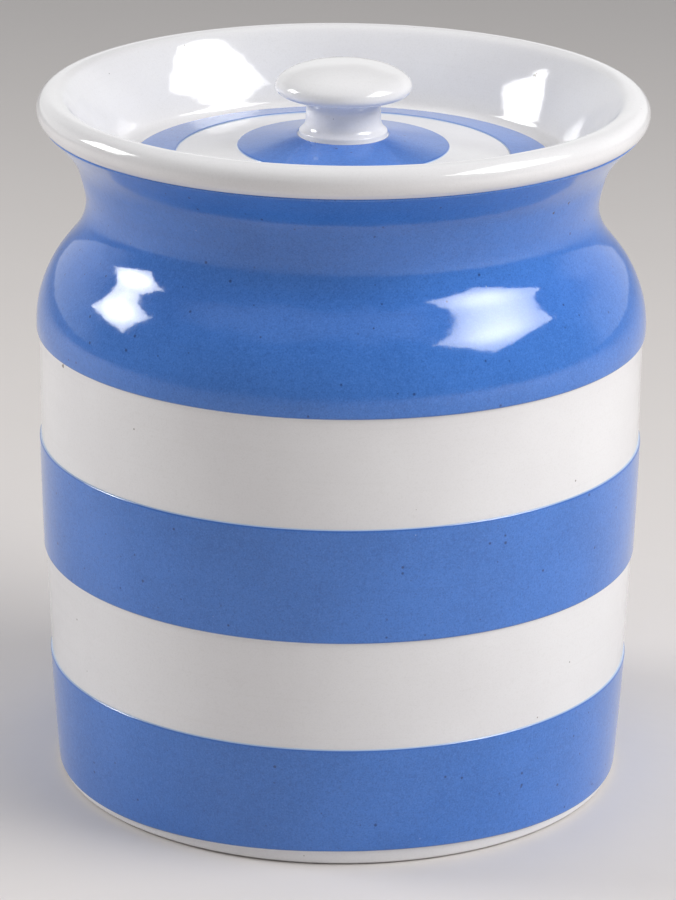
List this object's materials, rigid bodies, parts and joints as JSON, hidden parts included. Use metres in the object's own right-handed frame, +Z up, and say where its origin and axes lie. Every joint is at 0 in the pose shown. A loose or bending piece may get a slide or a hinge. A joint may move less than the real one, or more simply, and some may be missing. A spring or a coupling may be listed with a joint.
{
  "type": "biscuit jar",
  "caption": "Round earthenware biscuit jar with raised bands, a flared mouth with a rolled rim, and a drop-in domed lid with a mushroom knob.",
  "frame": {"origin": "centre of the foot, on the surface that the jar stands on", "axes": "+Z up along the jar's axis, +X to the right, -Y towards the viewer"},
  "size_m": [0.1534, 0.1534, 0.1843],
  "materials": {
    "white_glaze": "gloss",
    "blue_slip": "gloss"
  },
  "bodies": {
    "jar": {"jar_body": "white_glaze", "shoulder_band": "blue_slip", "middle_band": "blue_slip", "base_band": "blue_slip"},
    "lid": {"lid_disc": "white_glaze", "lid_outer_band": "blue_slip", "lid_inner_band": "blue_slip", "lid_knob": "white_glaze"}
  },
  "joints": [
    {"name": "lid_lift", "type": "slide", "parent": "jar", "child": "lid", "axis": [0, 0, 1], "range_m": [0, 0.12]}
  ]
}
